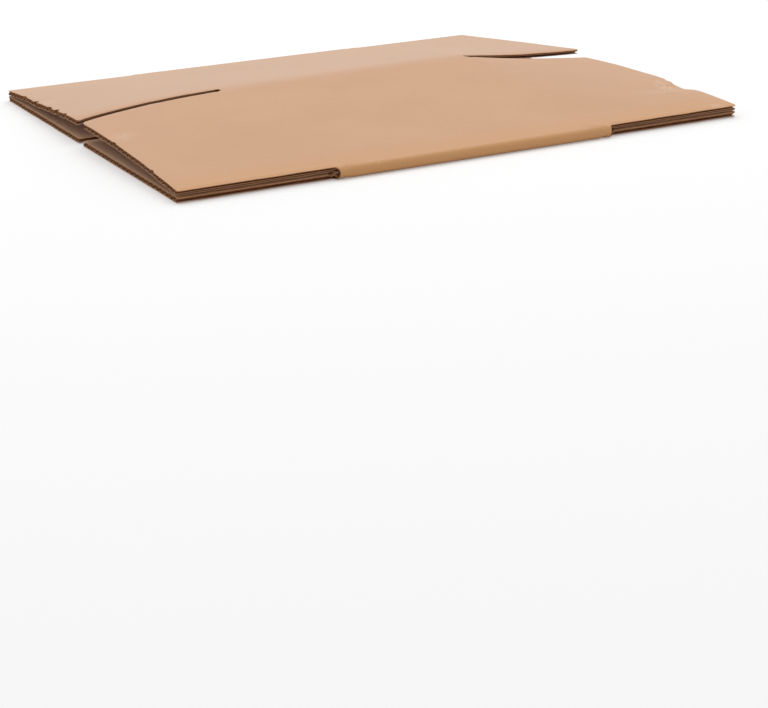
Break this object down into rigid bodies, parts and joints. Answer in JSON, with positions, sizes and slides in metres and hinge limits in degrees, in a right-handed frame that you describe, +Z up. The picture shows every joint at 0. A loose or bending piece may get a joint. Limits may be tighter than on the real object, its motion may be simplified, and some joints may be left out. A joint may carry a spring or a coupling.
{
  "type": "flattened cardboard box",
  "caption": "Plain brown corrugated cube carton, glued into a sleeve and folded flat, with flaps that turn up at their creases.",
  "frame": {"origin": "under the middle of the flat carton, on the surface it lies on", "axes": "+X along the flutes towards the right flaps, +Y across the panels towards the far fold, +Z up"},
  "size_m": [0.313, 0.31, 0.0219],
  "materials": {
    "kraft_board": "matt"
  },
  "bodies": {
    "sheet": {"folded_sheet": "kraft_board"},
    "near_left_flap": {"upper_near_left_flap": "kraft_board"},
    "far_left_flap": {"upper_far_left_flap": "kraft_board"},
    "near_right_flap": {"upper_near_right_flap": "kraft_board"},
    "far_right_flap": {"upper_far_right_flap": "kraft_board"}
  },
  "joints": [
    {"name": "near_left_flap_crease", "type": "hinge", "parent": "sheet", "child": "near_left_flap", "pos_m": [-0.079, 0, 0.02202], "axis": [0, 0.9948, 0.1016], "range_deg": [0, 165]},
    {"name": "far_left_flap_crease", "type": "hinge", "parent": "sheet", "child": "far_left_flap", "pos_m": [-0.079, 0, 0.02202], "axis": [0, 0.9948, -0.1016], "range_deg": [0, 165]},
    {"name": "near_right_flap_crease", "type": "hinge", "parent": "sheet", "child": "near_right_flap", "pos_m": [0.079, 0, 0.02202], "axis": [0, -0.9948, -0.1016], "range_deg": [0, 165]},
    {"name": "far_right_flap_crease", "type": "hinge", "parent": "sheet", "child": "far_right_flap", "pos_m": [0.079, 0, 0.02202], "axis": [0, -0.9948, 0.1016], "range_deg": [0, 165]}
  ]
}
